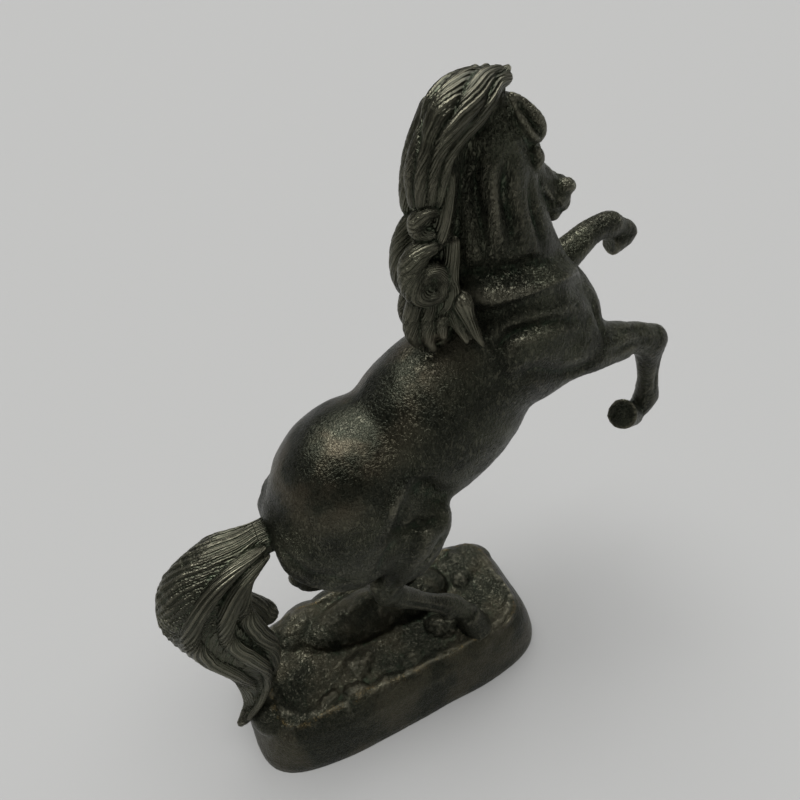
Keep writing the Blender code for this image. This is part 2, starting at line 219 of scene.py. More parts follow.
# right hind leg: gaskin, hock with its point, cannon, fetlock, pastern
roll(detail, [(2, -25, 122, 11), (-2, -24, 112, 8.8), (-6, -23, 103, 8.6), (-2, -23, 93, 7.8),
              (6, -24, 84, 6.8), (14, -25, 76.5, 5.9), (24, -26.5, 68, 6), (32, -27.5, 61, 7.4),
              (37, -28.5, 56.5, 7.8), (42, -31, 51, 6.4), (46, -32.5, 46, 7)], flat=0.88)
egg(detail, (-9.5, -23, 107), (6, 5, 9), pitch=12)
egg(detail, (-5, -23, 98), (8.4, 7.4, 8.6), pitch=-40)
egg(detail, (33.5, -28.5, 56.5), (6.8, 6.6, 7), pitch=-30)
# left hind leg, set back and bent more
roll(detail, [(-26, 17.5, 111, 10.5), (-35, 14.5, 98, 8.4), (-41, 12.5, 88, 8.2), (-36, 12, 81.5, 7.6),
              (-26, 12, 76.5, 6.6), (-14, 12, 71, 6.2), (-4, 12, 66.5, 6.4), (6, 12, 61.5, 7.6),
              (12, 12, 58, 7.8), (16.5, 12, 54, 7.4), (19, 12, 51, 7.8)], flat=0.88)
egg(detail, (-44.5, 12.5, 89), (6, 5, 8), pitch=30)
print("legs laid on")


# %% [markdown]
# A hoof is a blunt cone with a flat sole. A cone from the pastern's end to the sole gives both at once.

# %% Hooves
def hoof(wax, pastern, sole, top_radius, sole_radius, squash=0.92):
    """A blunt cone from the pastern to the flat sole, both (x, y, z)."""
    start, end = at(*pastern), at(*sole)
    axis = end - start
    turn = Vector((0, 0, 1)).rotation_difference(axis).to_matrix().to_4x4()
    size = Matrix.Diagonal((1, squash, 1, 1))
    piece = bmesh.new()
    bmesh.ops.create_cone(piece, cap_ends=True, segments=40, depth=axis.length,
                          radius1=top_radius * MM, radius2=sole_radius * MM,
                          matrix=Matrix.Translation((start + end) / 2) @ turn @ size)
    press_on(wax, piece)


hoof(detail, (147.5, -23.4, 168.2), (135.8, -25.4, 174.6), 6.4, 8.4, 1)
hoof(detail, (158, 24, 251.5), (148, 24, 249), 5, 6.4, 1)
hoof(detail, (45, -32, 48), (50.5, -35, 31), 7.6, 11.5)
hoof(detail, (18, 12, 53), (22.5, 12, 38), 7.6, 11.5)

# %% [markdown]
# ## The head
# The head is laid out along its own line from the poll to the lips: t runs down the face, n stands
# off the forehead and s is to the side. It is tucked in and turned a little to the left.

# %% Head and ears
POLL = (54.5, 0.0, 331.0)
HEAD_PITCH, HEAD_YAW = -36, 10


def head_place(t, s, n):
    """A place in the head's own frame as turntable millimetres."""
    turn = Matrix.Rotation(math.radians(HEAD_YAW), 3, "Z")
    turn = turn @ Matrix.Rotation(math.radians(-HEAD_PITCH), 3, "Y")
    return tuple(Vector(POLL) + turn @ Vector((t, s, n)))


def head_egg(t, s, n, radii, pitch=0):
    egg(detail, head_place(t, s, n), radii, pitch=HEAD_PITCH + pitch, yaw=HEAD_YAW)


head_egg(6, 0, -7, (12, 9.5, 10))  # skull
head_egg(20, 0, -8.5, (15, 8.6, 8.4), pitch=-3)  # forehead
head_egg(36, 0, -8.5, (16, 6.2, 5.8), pitch=-2)  # bridge of the nose
head_egg(49.5, 0, -9, (8, 7.4, 7.8))  # muzzle
head_egg(55, 0, -10.5, (4.6, 5.8, 5.6))  # upper lip
head_egg(53.5, 0, -15.5, (5.4, 5, 4), pitch=-8)  # lower lip
head_egg(38, 0, -15.5, (17, 4.4, 4), pitch=-6)  # lower jaw
for side in (-1, 1):
    head_egg(15, side * 4.6, -15, (11.5, 4.8, 9.5), pitch=-15)  # cheek
    head_egg(18, side * 7.4, -4.2, (5.4, 2.8, 2.8), pitch=-12)  # brow
    head_egg(19.5, side * 8.3, -7, (2.6, 2, 2.3))  # eye
    head_egg(32, side * 5.4, -10.5, (14, 1.8, 1.6), pitch=-8)  # cheekbone ridge
    head_egg(48.5, side * 4.6, -4.8, (5.6, 3.4, 3.6), pitch=8)  # nostril's wing
    roll(detail, [(65, side * 7.5, 325, 3), (62, side * 10, 328.5, 4), (57.5, side * 10.5, 333.5, 3.8),
                  (53, side * 10, 338, 2.6), (49.5, side * 9.5, 341, 1)], flat=0.75)
print("head laid on at", [round(v) for v in POLL])

# %% [markdown]
# ## Mane and tail
# Long hair is modelled as locks, never as single hairs. Each lock is a roll that starts thin, swells
# and ends in a point. The list keeps every lock's path, because the chaser follows them later.

# %% Locks of the mane and tail
MANE = [
    # the big comma over the poll: its rim, then strands that run beside the rim and hang down
    [(52, -3, 344, 2.5), (46, -5, 343.5, 3.8), (41, -8, 339.5, 4.2), (36.5, -9.5, 335.5, 4),
     (31, -10, 331.5, 3.6), (27, -10.5, 327, 3.2), (24.8, -10.5, 320, 3), (24.2, -10, 312, 2.6),
     (24.5, -9, 306, 1.8)],
    [(49, -2, 345.5, 3), (41, -5, 344, 5), (34.5, -8, 340, 6), (29, -9, 335, 5.5), (25, -9.5, 330, 4.6),
     (22.5, -9.5, 324, 3.8), (21.2, -9.5, 317, 3.5), (21.5, -8.5, 309, 2.6)],
    [(45, -1, 345.5, 3.5), (36, -3, 343.5, 5.5), (28.5, -6, 340, 6), (24.5, -6.5, 334.5, 5.5),
     (22, -7, 329, 4.6), (19.5, -7.5, 323, 4.2), (18.5, -7.5, 316, 4), (19, -7, 307, 2.8)],
    [(42, 0, 345, 4), (33, 0, 342.5, 5), (27, -2, 338.5, 5.5), (24, -3, 333, 4.6), (20.5, -4, 327.5, 4.6),
     (18, -4.5, 319, 4.8), (18.5, -4.5, 309, 3.8)],
    # the small twisted knot under it
    [(25, -9, 306.5, 2), (20, -8.5, 306.5, 3.2), (17, -7, 303, 3.6), (17.5, -7, 298.8, 3.2),
     (21, -8.5, 297, 2.8), (25, -9.5, 298.5, 2)],
    [(28, -10, 318, 2.2), (27, -10.5, 309, 2.8), (26, -10.5, 300, 3), (25, -9.5, 293, 2.6)],
    # the large curl
    [(29, -8.5, 295, 2.5), (23.5, -8.5, 293.5, 4), (18, -8, 291, 5), (15, -7.5, 286, 5.5),
     (15, -7.5, 279.5, 5.4), (17, -8, 274, 5), (21.5, -9, 271.5, 4.4), (26, -10, 273, 3.8),
     (27, -10.5, 278.5, 3.3), (24.5, -10.5, 283, 3), (20.5, -10.5, 283.5, 2.8), (19, -10.5, 280.5, 2.2)],
    [(31, -9.5, 293, 3), (31, -10, 284, 3.4), (31.5, -10.5, 275, 3.6), (29.5, -10, 267, 3.6),
     (25, -9.5, 261.5, 2.6)],
    # the fringe and the thin lock over the shoulder
    [(17.5, -6.5, 269, 4), (16, -6.5, 261, 4.2), (16.5, -6.5, 253.5, 3.4), (18.5, -7, 248, 1.8)],
    [(22.5, -8, 267, 4), (21.5, -8.5, 259.5, 4.2), (22.5, -9, 251.5, 3.2), (25, -10, 245.5, 1.6)],
    [(28, -9, 266, 3.6), (27, -10, 259, 3.8), (28.5, -11, 252, 2.2)],
    [(32, -9.5, 273, 3), (34.5, -13.5, 265.5, 3.4), (38, -18, 257.5, 2.8), (41, -22.5, 250.5, 1.3)],
    [(31.5, -10, 266, 3), (33.5, -14, 258, 2.8), (36, -17.5, 251, 1.4)],
    # the far side
    [(52, 4, 341, 3), (44, 6, 341, 5), (36, 8, 337, 5.5), (30, 10, 326, 5.5), (31, 11, 312, 4.5),
     (36, 11.5, 302, 2)],
    [(29, 5, 335, 5.5), (24, 7, 320, 5.5), (23.5, 8, 303, 5.5), (28, 9.5, 290, 3)],
    [(25, 5, 300, 5), (20, 7, 288, 6), (20, 8.5, 274, 6), (25, 11, 262, 4.5), (31, 13.5, 254, 2)],
    [(22, 3, 270, 5), (19, 3, 260, 4.6), (22, 4, 249, 3)],
    [(33, 9, 285, 5), (35, 13, 271, 5), (40, 17, 258, 3.5), (44, 21, 248, 1.5)],
    # tuft on the poll and forelock between the ears
    [(43, -1, 341.5, 6), (49, -1, 343, 4.2), (53.5, -1, 346.3, 1.6)],
    [(55, 1, 334, 4), (63, 2, 329, 3.6), (70, 3.5, 322.5, 2.8), (76, 4.5, 315, 1.3)],
]
UNDER_MANE = [(46, 0, 337, 8), (37, -1, 336, 9), (31, -1, 328, 8), (29, -1, 314, 8), (29, 0, 300, 8),
              (28, 0, 288, 9), (27, 0, 275, 9.5), (28, 0, 262, 9), (31, 0, 249, 8)]
TAIL = [(-46, 0, 157, 11), (-64, 0, 154, 11), (-84, -1, 148.5, 16.5), (-98, -3, 131, 20), (-93, -8, 101, 19),
        (-83, -14, 69, 14.5), (-88, -19, 42, 7.5), (-95.5, -22, 31, 4.8), (-99.5, -23, 28, 3.2)]
TAIL_FLAT = 0.76
TAIL_LOCKS = [
    # the curl that turns back towards the hocks
    [(-90, 0, 122, 7), (-82, 0, 108, 9.5), (-73.5, 0, 95, 9), (-68, -1, 89, 6.5), (-71, -1, 83, 3)],
    # long strands on the near side
    [(-62, -7, 157, 3.5), (-78, -11, 155, 6), (-94, -14, 144, 7.5), (-104, -15.5, 126, 8),
     (-101, -18, 106, 7.5), (-92, -21.5, 86, 6.5), (-86, -22.5, 68, 5), (-87, -23, 52, 3)],
    [(-62, -7, 151, 4), (-76, -12.5, 146, 6.5), (-87, -16, 132, 7), (-91, -18, 115, 7),
     (-85, -21, 96, 6.5), (-79, -22.5, 79, 5.5), (-80, -23.5, 62, 4.5), (-87, -24.5, 46, 3.4),
     (-95, -25, 34, 2)],
    [(-64, -5, 146, 3.5), (-75, -9, 139, 5.5), (-80, -13, 124, 6), (-77, -16, 107, 6),
     (-72.5, -18, 91, 5.4), (-73, -20, 75, 4.6), (-78, -22, 60, 3)],
    # the far side
    [(-66, 7, 153, 4), (-84, 11, 147, 7), (-97, 12, 130, 8.5), (-96, 9, 108, 8), (-86, 5, 86, 6),
     (-80, -1, 66, 3.5)],
    [(-72, 5, 143, 5), (-82, 11, 125, 8), (-80, 10, 102, 7.5), (-75, 5, 80, 5), (-75, 0, 64, 2.5)],
]
roll(detail, UNDER_MANE, flat=0.9)
for lock in MANE:
    roll(detail, lock, flat=0.9)
egg(detail, (21, -7, 279), (5.5, 4.4, 5.5))
egg(detail, (21, -6.5, 301.5), (3.6, 3, 3.2))
roll(detail, TAIL, flat=TAIL_FLAT)
for lock in TAIL_LOCKS:
    roll(detail, lock, flat=0.9)
print("locks:", len(MANE), "in the mane,", len(TAIL_LOCKS) + 1, "in the tail")

# %% One skin over the whole horse
GRAIN = 0.88
horse_skin = skin_over("horse", detail, GRAIN, 3)
print("horse skin:", len(horse_skin.polygons), "faces")


# %% [markdown]
# ## Chasing
# From here the wax is carved. Every mark moves the skin along its own normal. A stroke is a soft
# groove or a soft ridge along a path; each of its stations is x, y, z and a strength from 0 to 1, so
# a stroke can fade in and out. Strokes on the near flank are repeated on the far one.

# %% Read the skin and set up the tools
def read_skin(mesh):
    """Points on the turntable, normals and the edges of a mesh."""
    points = np.empty(len(mesh.vertices) * 3)
    mesh.vertices.foreach_get("co", points)
    normals = np.empty(len(mesh.vertices) * 3, np.float32)
    mesh.vertex_normals.foreach_get("vector", normals)
    edges = np.empty(len(mesh.edges) * 2, np.int32)
    mesh.edges.foreach_get("vertices", edges)
    return as_table(points.reshape(-1, 3)), normals.reshape(-1, 3).astype(float), edges.reshape(-1, 2)


def write_skin(mesh, points):
    mesh.vertices.foreach_set("co", as_frame(points).ravel())
    mesh.update()


def relax(values, edges, rounds):
    """Averages each row with its neighbours' rows, rounds times."""
    count = np.bincount(edges.ravel(), minlength=len(values))[:, None]
    for _ in range(rounds):
        total = np.stack([np.bincount(edges[:, 0], column[edges[:, 1]], len(values))
                          + np.bincount(edges[:, 1], column[edges[:, 0]], len(values))
                          for column in values.T], axis=1)
        values = (values + total / count) / 2
    return values


def stroke(points, path, width, depth):
    """How far each point is lifted by a soft stroke; a negative depth is a groove."""
    lift = np.zeros(len(points))
    samples = smooth_path(path, spacing=max(0.5, width / 3))
    low, high = samples[:, :3].min(0) - 3 * width, samples[:, :3].max(0) + 3 * width
    near = np.flatnonzero(((points > low) & (points < high)).all(1))
    for first in range(0, len(near), 20000):
        some = near[first:first + 20000]
        away = np.linalg.norm(points[some, None] - samples[None, :, :3], axis=2)
        lift[some] = (np.exp(-(away / width) ** 2) * samples[:, 3]).max(1) * depth
    return lift


def both_sides(path):
    return [path, [(x, -y, z, strength) for x, y, z, strength in path]]


points, normals, edges = read_skin(horse_skin)
print("skin read:", len(points), "points")

# %% [markdown]
# The big folds come first: collar, shoulder, the pocket of the flank, stifle and buttock. A rearing
# horse gathers its skin at the flank and above the stifle, and stretches it under the belly.

# %% Folds, muscles and tendons
FOLDS = [
    # path with strengths, width, depth
    ([(35, -7, 275, .5), (42, -13, 278, 1), (53, -17, 279, 1), (65, -18, 279, 1), (79, -13, 277, .5)],
     4.6, -2.4),
    ([(38, -14, 270, .5), (48, -19, 271, 1), (62, -22, 272, 1), (76, -20, 271, 1), (90, -14, 268, .5)],
     5.6, 3.7),
    ([(47, -26, 251, .6), (51, -27, 256, 1), (61, -29, 258, 1), (74, -29, 257, 1), (89, -27, 252, .4)],
     3.0, -2.6),
    ([(93, -33, 236, .3), (88, -35, 231, 1), (75, -34, 232, 1), (61, -33, 238, 1), (55, -32, 235, .3)],
     4.0, -1.5),
    ([(46, -24, 262, .3), (44, -27, 250, 1), (45, -29, 240, 1), (50, -31, 230, .4)], 4.0, -1.3),
    ([(97, -20, 257, .3), (99, -25, 248, 1), (98, -30, 239, .5)], 2.6, -1.3),
    ([(5, -30, 191, .4), (11, -31, 183, 1), (20, -30, 173, .6)], 7.0, -3.2),
    ([(9, -30, 195, .3), (-1, -33, 190, 1), (-6, -35, 184, 1), (-4, -36, 174, .4)], 4.5, 1.7),
    ([(24, -33, 158, .4), (16, -36, 165, 1), (4, -37, 169, 1), (-12, -37, 169, .3)], 3.0, -1.6),
    ([(-58, -17, 168, .3), (-52, -24, 158, 1), (-43, -29, 149, 1), (-30, -34, 141, 1), (-14, -38, 137, .6)],
     3.2, -1.4),
    ([(-52, -19, 150, .3), (-44, -25, 141, 1), (-30, -30, 131, 1), (-14, -34, 127, .4)], 3.0, 1.2),
    ([(18, -38, 158, .3), (13, -42, 152, 1), (7, -41, 142, 1), (4, -38, 131, .3)], 2.6, -1.2),
    ([(-2, -36, 188, .4), (-4, -37, 178, 1), (-7, -38, 166, 1), (-13, -38, 152, 1), (-17, -35, 138, .5)],
     4.0, -2.0),
    ([(9, -39, 167, .3), (5, -40, 155, 1), (0, -38, 142, 1), (-4, -34, 128, .5)], 4.6, 1.5),
]
TENDONS = [
    ([(40, -8, 323, .4), (39, -9, 311, 1), (42, -11, 296, 1), (44, -14, 284, .3)], 2.4, -1.8),
    ([(51, -11, 320, .3), (50, -13, 310, 1), (53, -14, 299, 1), (55, -16, 287, .3)], 2.6, -1.8),
    ([(62, -10, 312, .3), (64, -13, 302, 1), (67, -15, 292, .8), (70, -16, 283, .2)], 2.4, -1.5),
    ([(45, -10, 318, .3), (46, -12, 305, 1), (48, -13, 292, .5)], 2.2, 1.2),
    ([(31, -8, 308, .4), (34, -7, 292, 1), (37, -8, 277, .5)], 2.2, -1.0),
    ([(104, -35, 234, .3), (116, -33, 233, 1), (130, -31, 229, .5)], 1.5, -0.8),
    ([(104, -31, 239, .3), (116, -28, 238, 1), (130, -27, 234, .4)], 1.4, -0.6),
    ([(145, -30, 212, .3), (149, -29, 198, 1), (151, -29, 188, .4)], 1.3, -0.7),
    ([(0, -30, 92, .3), (10, -30, 82, 1), (22, -32, 71, 1), (29, -33, 64, .3)], 1.5, -0.8),
    ([(-4, -34, 128, .3), (-6, -32, 116, 1), (-9, -29, 106, .5)], 2.0, -1.0),
    ([(6, -38, 128, .2), (3, -34, 116, 1), (0, -31, 106, .4)], 2.2, -0.7),
]
lift = np.zeros(len(points))
for path, width, depth in FOLDS + TENDONS:
    for one in both_sides(path):
        lift += stroke(points, one, width, 1.6 * depth)
points += normals * lift[:, None]
print("folds cut: lift from %.1f to %.1f mm" % (lift.min(), lift.max()))

# %% [markdown]
# The face is small, so it gets its own thin strokes: lids, nostrils, the line of the mouth, the edge of
# the jaw, the hollow below the eye and the hollow of each ear.

# %% Face, ears and soles
lift = np.zeros(len(points))
for side in (-1, 1):
    lids = [(*head_place(18.5 + 3.6 * math.cos(a), side * 8.6, -5.8 + 2.5 * math.sin(a)), 1)
            for a in np.linspace(0, 2 * math.pi, 13)]
    mouth = [(*head_place(t, side * s, n), w) for t, s, n, w in
             ((58, 1.5, -13, 1), (54, 5, -13.4, 1), (48, 5.8, -13, 1), (43, 5.6, -12.2, .3))]
    jaw = [(*head_place(t, side * s, n), w) for t, s, n, w in
           ((26, 7, -6, .3), (27.5, 7, -12, 1), (24, 7.5, -19, .7), (18, 8, -22.5, .3))]
    hollow = [(*head_place(t, side * s, n), w) for t, s, n, w in
              ((24, 7.5, -2, .3), (32, 6, -4.5, 1), (42, 5.5, -6.5, .4))]
    nostril = [(*head_place(t, side * s, n), 1) for t, s, n in ((52, 7, -5.2), (54, 6.8, -7))]
    ear = [(63.5, side * 12, 327, .6), (60, side * 13, 330, 1), (56, side * 13, 333.8, 1),
           (52.5, side * 12, 337.5, .5)]
    for path, width, depth in ((lids, 0.8, -0.6), (mouth, 0.8, -0.7), (jaw, 1.8, -0.9), (hollow, 2, -0.8),
                               (nostril, 1.3, -1.2), (ear, 1.9, -3.4)):
        lift += stroke(points, path, width, depth)
points += normals * lift[:, None]
print("face cut")


# %% [markdown]
# Hair is combed into the locks. Each point of the skin looks up its own lock: the one whose path is
# nearest for the lock's thickness there. The angle round the lock then gives the strand, and the
# valley between two strands is cut. Where two locks meet, the seam is cut deeper still.

# %% The comb
def comb(points, locks, strand, depth, twist=0.0, seam=0.8):
    """Lift by strand valleys and seams; strand is a strand's width and depth its depth, in mm."""
    reach = np.full((len(locks), len(points)), 1e3)
    valley = np.zeros((len(locks), len(points)))
    finest = np.zeros((len(locks), len(points)))
    for row, lock in enumerate(locks):
        path = smooth_path(lock, spacing=0.9)
        place, thick = path[:, :3], np.maximum(path[:, 3], 0.8)
        along = np.gradient(place, axis=0)
        along /= np.linalg.norm(along, axis=1)[:, None] + 1e-9
        side = np.cross(along, (0.0, 0.35, 1.0))
        side /= np.linalg.norm(side, axis=1)[:, None] + 1e-9
        up = np.cross(side, along)
        count = max(4, round(2 * math.pi * np.median(thick) / strand))
        run = np.concatenate([[0], np.cumsum(np.linalg.norm(np.diff(place, axis=0), axis=1))])
        low, high = place.min(0) - 1.6 * thick.max(), place.max(0) + 1.6 * thick.max()
        near = np.flatnonzero(((points > low) & (points < high)).all(1))
        for first in range(0, len(near), 20000):
            some = near[first:first + 20000]
            away = np.linalg.norm(points[some, None] - place[None], axis=2) / thick
            best = away.argmin(1)
            gap = points[some] - place[best]
            length = run[best] + np.clip((gap * along[best]).sum(1), -0.6, 0.6)
            angle = np.arctan2((gap * side[best]).sum(1), -(gap * up[best]).sum(1))
            angle += twist * length / 10 + 0.16 * np.sin(length / 7 + 2 * row)
            phase = count * angle / 2
            finest[row, some] = max(8, round(2 * math.pi * np.median(thick) / 1.25)) * angle
            reach[row, some] = away[np.arange(len(some)), best]
            fade = np.clip(np.minimum(run[best], run[-1] - run[best]) / 5, 0, 1)
            valley[row, some] = np.abs(np.cos(phase)) ** 5 * (0.35 + 0.65 * fade)
            valley[row, some] *= np.clip(thick[best] / 5, 0.4, 1)
    order = np.sort(reach, axis=0)[:2]
    own = reach.argmin(0)
    inside = np.clip((1.5 - order[0]) / 0.25, 0, 1)
    lift = -depth * valley[own, np.arange(len(points))] * inside
    if len(locks) > 1:
        between = np.exp(-((order[1] - order[0]) / 0.12) ** 2)
        lift -= seam * between * inside * np.clip((1.35 - order[1]) / 0.2, 0, 1)
    return lift, inside, finest[own, np.arange(len(points))]


# %% Comb the mane, the tail and the forelock
is_mane = (points[:, 2] > 236) & (points[:, 0] < 80)
mane_lift, mane_hair, mane_strand = comb(points, MANE, strand=2.6, depth=0.32, twist=0.2, seam=0.8)
mane_lift, mane_hair = mane_lift * is_mane, mane_hair * is_mane
is_tail = points[:, 0] < -58
outer = [(x, y, z, 0.97 * r) for x, y, z, r in TAIL]
tail_lift, tail_hair, tail_strand = comb(points, [outer, *TAIL_LOCKS], strand=3.2, depth=0.7, twist=0.12,
                                         seam=1.4)
tail_lift, tail_hair = tail_lift * is_tail, tail_hair * is_tail
strand = np.where(is_tail, tail_strand, mane_strand)
hair = np.clip(mane_hair + tail_hair, 0, 1)
points += normals * (mane_lift + tail_lift)[:, None]
print("combed points:", int((hair > 0.5).sum()))

# %% [markdown]
# A chased coat: short shallow marks all over the body, with the back and the croup left smoother, and
# a slow unevenness that keeps the light from running in perfect lines.

# %% The coat
back = np.clip((points[:, 2] - 1.05 * points[:, 0] - 190) / 28, 0, 1)
back *= (points[:, 2] < 255) * (points[:, 0] > -62)
back *= np.clip((points[:, 2] - 165) / 25, 0, 1)
back = relax(back[:, None], edges, 10)[:, 0]
coat = np.array([noise.noise((x * 0.55, y * 0.9, z * 0.9)) for x, y, z in points])
slow = np.array([noise.noise((x * 0.11, y * 0.11, z * 0.11)) for x, y, z in points])
body = 1 - hair
points += normals * (0.2 * coat * body * (1 - 0.7 * back) + 0.35 * slow * body)[:, None]
# The far haunch is eased in, so that it stays inside the casting's width.
FAR_SIDE, EASE = 37.8, 1.6
beyond = points[:, 1] > FAR_SIDE
points[beyond, 1] = FAR_SIDE + EASE * np.tanh((points[beyond, 1] - FAR_SIDE) / EASE)
print("coat chased")

# %% [markdown]
# The patina follows the relief: verdigris stays in the hollows, and the ridges are lighter, partly as
# rubbed wear and partly as a painted highlight where they catch the light. The height of each point over
# the smoothed skin gives both, and each goes into the mesh as an attribute.

# %% Ridges and hollows
def add_attribute(mesh, name, values):
    layer = mesh.attributes.new(name, "FLOAT", "POINT")
    layer.data.foreach_set("value", values.astype(np.float32))


def relief(points, normals, edges, rounds, full):
    """Height over the smoothed skin, as a share of full: above 0 on ridges, below 0 in hollows."""
    height = ((points - relax(points, edges, rounds)) * normals).sum(1)
    return np.clip(height / full, -1, 1)


write_skin(horse_skin, points)
points, normals, edges = read_skin(horse_skin)
fine, broad = relief(points, normals, edges, 6, 0.35), relief(points, normals, edges, 40, 1.6)
height = np.clip(0.6 * fine + 0.7 * broad, -1, 1)
add_attribute(horse_skin, "relief", height)
add_attribute(horse_skin, "hair", hair)
add_attribute(horse_skin, "back", back)
add_attribute(horse_skin, "rim", 0 * back)
add_attribute(horse_skin, "strand", strand)
print("relief from %.2f to %.2f" % (height.min(), height.max()))

# %% [markdown]
# ## Sawing into castings
# The foundry's joints are the frame's joints: the neck at the withers, each leg near the body and the
# tail at its root. Each cut is one bisect in a small region; the rim is then split and capped, so that
# every casting is a closed body with a sawn face.

# %% Saw
NECK_CUT, RIGHT_HIND_CUT, LEFT_HIND_CUT = 262, 116, 111
RIGHT_FORE_CUT, LEFT_FORE_CUT, TAIL_CUT = 110, 114, -63
JOINTS = [
    # place of the cut, its normal towards the smaller casting, and the region it may touch
    ((0, 0, NECK_CUT), (0, 0, 1), lambda x, y, z: abs(z - NECK_CUT) < 4 and x < 112),
    ((RIGHT_FORE_CUT, 0, 0), (1, 0, 0), lambda x, y, z: abs(x - RIGHT_FORE_CUT) < 4 and y < -11),
    ((LEFT_FORE_CUT, 0, 0), (1, 0, 0), lambda x, y, z: abs(x - LEFT_FORE_CUT) < 4 and y > 11),
    ((0, 0, RIGHT_HIND_CUT), (0, 0, -1), lambda x, y, z: abs(z - RIGHT_HIND_CUT) < 4 and y < 0 and x > -57),
    ((0, 0, LEFT_HIND_CUT), (0, 0, -1), lambda x, y, z: abs(z - LEFT_HIND_CUT) < 4 and y > 0 and x > -57),
    ((TAIL_CUT, 0, 0), (-1, 0, 0), lambda x, y, z: abs(x - TAIL_CUT) < 4 and z > 128),
]


def casting_of(x, y, z):
    """The casting that a place on the turntable belongs to."""
    if x < (TAIL_CUT if z > 128 else -57):
        return "tail_casting"
    if z > NECK_CUT and x < 112:
        return "neck_and_head_casting"
    if x > RIGHT_FORE_CUT and y < -11:
        return "right_foreleg_casting"
    if x > LEFT_FORE_CUT and y > 11:
        return "left_foreleg_casting"
    if z < RIGHT_HIND_CUT and y < 0:
        return "right_hind_leg_casting"
    if z < LEFT_HIND_CUT and y > 0:
        return "left_hind_leg_casting"
    return "trunk_casting"


sawn = bmesh.new()
sawn.from_mesh(horse_skin)
for place, normal, touches in JOINTS:
    inside = {v for v in sawn.verts if touches(*(v.co - BASE_MIDDLE) / MM + BASE_ON_TABLE)}
    faces = [f for f in sawn.faces if all(v in inside for v in f.verts)]
    edges_there = {e for f in faces for e in f.edges}
    verts_there = {v for f in faces for v in f.verts}
    bmesh.ops.bisect_plane(sawn, geom=[*verts_there, *edges_there, *faces], dist=1e-7,
                           plane_co=at(*place), plane_no=normal)
part_names = sorted({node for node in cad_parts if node.endswith("_casting") and node != "base_casting"})
sawn_mesh = bpy.data.meshes.new("sawn")
owner = sawn.faces.layers.int.new("casting")
for face in sawn.faces:
    middle = (face.calc_center_median() - BASE_MIDDLE) / MM + BASE_ON_TABLE
    face[owner] = part_names.index(casting_of(*middle))
sawn.to_mesh(sawn_mesh)
sawn.free()
print("sawn faces:", len(sawn_mesh.polygons))


# %% [markdown]
# A casting's loose chips are dropped: only its largest connected body stays. The sawn faces keep flat
# shading and so stay crisp against the smooth skin.

# %% One object for each casting
def biggest_body(form):
    """Deletes every face that isn't connected with the largest body."""
    left = set(form.faces)
    bodies = []
    while left:
        seed = left.pop()
        found, edge_of_search = [seed], [seed]
        while edge_of_search:
            face = edge_of_search.pop()
            for edge in face.edges:
                for other in edge.link_faces:
                    if other in left:
                        left.remove(other)
                        found.append(other)
                        edge_of_search.append(other)
        bodies.append(found)
    bodies.sort(key=len)
    chips = [face for found in bodies[:-1] for face in found]
    bmesh.ops.delete(form, geom=chips, context="FACES")
    return [len(found) for found in bodies]


def new_piece(name, mesh, *nodes):
    """A finished object at the origin, standing for the frame's nodes."""
    obj = bpy.data.objects.new(name, mesh)
    bpy.context.scene.collection.objects.link(obj)
    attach(obj, "root")
    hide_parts(*nodes)
    return obj


castings = {}
for index, node in enumerate(part_names):
    form = bmesh.new()
    form.from_mesh(sawn_mesh)
    layer = form.faces.layers.int["casting"]
    bmesh.ops.delete(form, geom=[f for f in form.faces if f[layer] != index], context="FACES")
    sizes = biggest_body(form)
    for face in form.faces:
        face.smooth = True
    rims = [e for e in form.edges if e.is_boundary]
    caps = bmesh.ops.holes_fill(form, edges=rims, sides=0)["faces"]
    for cap in caps:
        cap.smooth = False
    bmesh.ops.triangulate(form, faces=caps)
    bmesh.ops.recalc_face_normals(form, faces=form.faces[:])
    mesh = bpy.data.meshes.new(node + "_skin")
    form.to_mesh(mesh)
    form.free()
    castings[node] = new_piece(node.replace("_casting", "_bronze"), mesh, node)
bpy.data.meshes.remove(sawn_mesh)
bpy.data.meshes.remove(horse_skin)
bpy.data.meshes.remove(soft_skin)

# %% [markdown]
# ## The base
# The base is a terrace of rock: a soft-cornered block with sloping sides, a sharp ledge round its top
# and rough ground inside the ledge, humped under the hooves. It is hollow from below.

# %% Base wax
def soft_rectangle(form, length, width, z, power=4.2, sides=120):
    """A ring with rounded corners, made from a circle, in millimetres round the base's middle."""
    ring = bmesh.ops.create_circle(form, cap_ends=False, radius=1, segments=sides)["verts"]
    for vert in ring:
        c, s = vert.co.x, vert.co.y
        x = math.copysign(abs(c) ** (2 / power), c) * length / 2
        y = math.copysign(abs(s) ** (2 / power), s) * width / 2
        vert.co = BASE_MIDDLE + Vector((x, y, z)) * MM
    return ring


def stack_of_rings(form, levels):
    """A closed body through (length, width, z) rings."""
    rings = []
    for length, width, z in levels:
        before = set(form.edges)
        soft_rectangle(form, length, width, z)
        rings.append([e for e in form.edges if e not in before])
    for lower, upper in zip(rings, rings[1:]):
        bmesh.ops.bridge_loops(form, edges=lower + upper)
    for rim in (rings[0], rings[-1]):
        bmesh.ops.holes_fill(form, edges=rim, sides=0)
    bmesh.ops.recalc_face_normals(form, faces=form.faces[:])


# The wax is a little larger than the casting, because smoothing draws it in.
ALLOWANCE = 0.4
LENGTH, WIDTH = BASE_SIZE.x + ALLOWANCE, BASE_SIZE.y + ALLOWANCE
# Steps in from the foot and up from the ground: the slope, the ledge and the edge of the ground.
SIDE = [(0, -6), (0, 0), (0.5, 4), (4, 15), (8, 24.7), (12, 30.6), (15, 33.2), (17.5, 34.2), (19.5, 33.2),
        (23, 31.6), (30, 31.4)]
ground = bmesh.new()
block = bmesh.new()
stack_of_rings(block, [(LENGTH - 2 * inset, WIDTH - 2 * inset, z) for inset, z in SIDE])
press_on(ground, block)


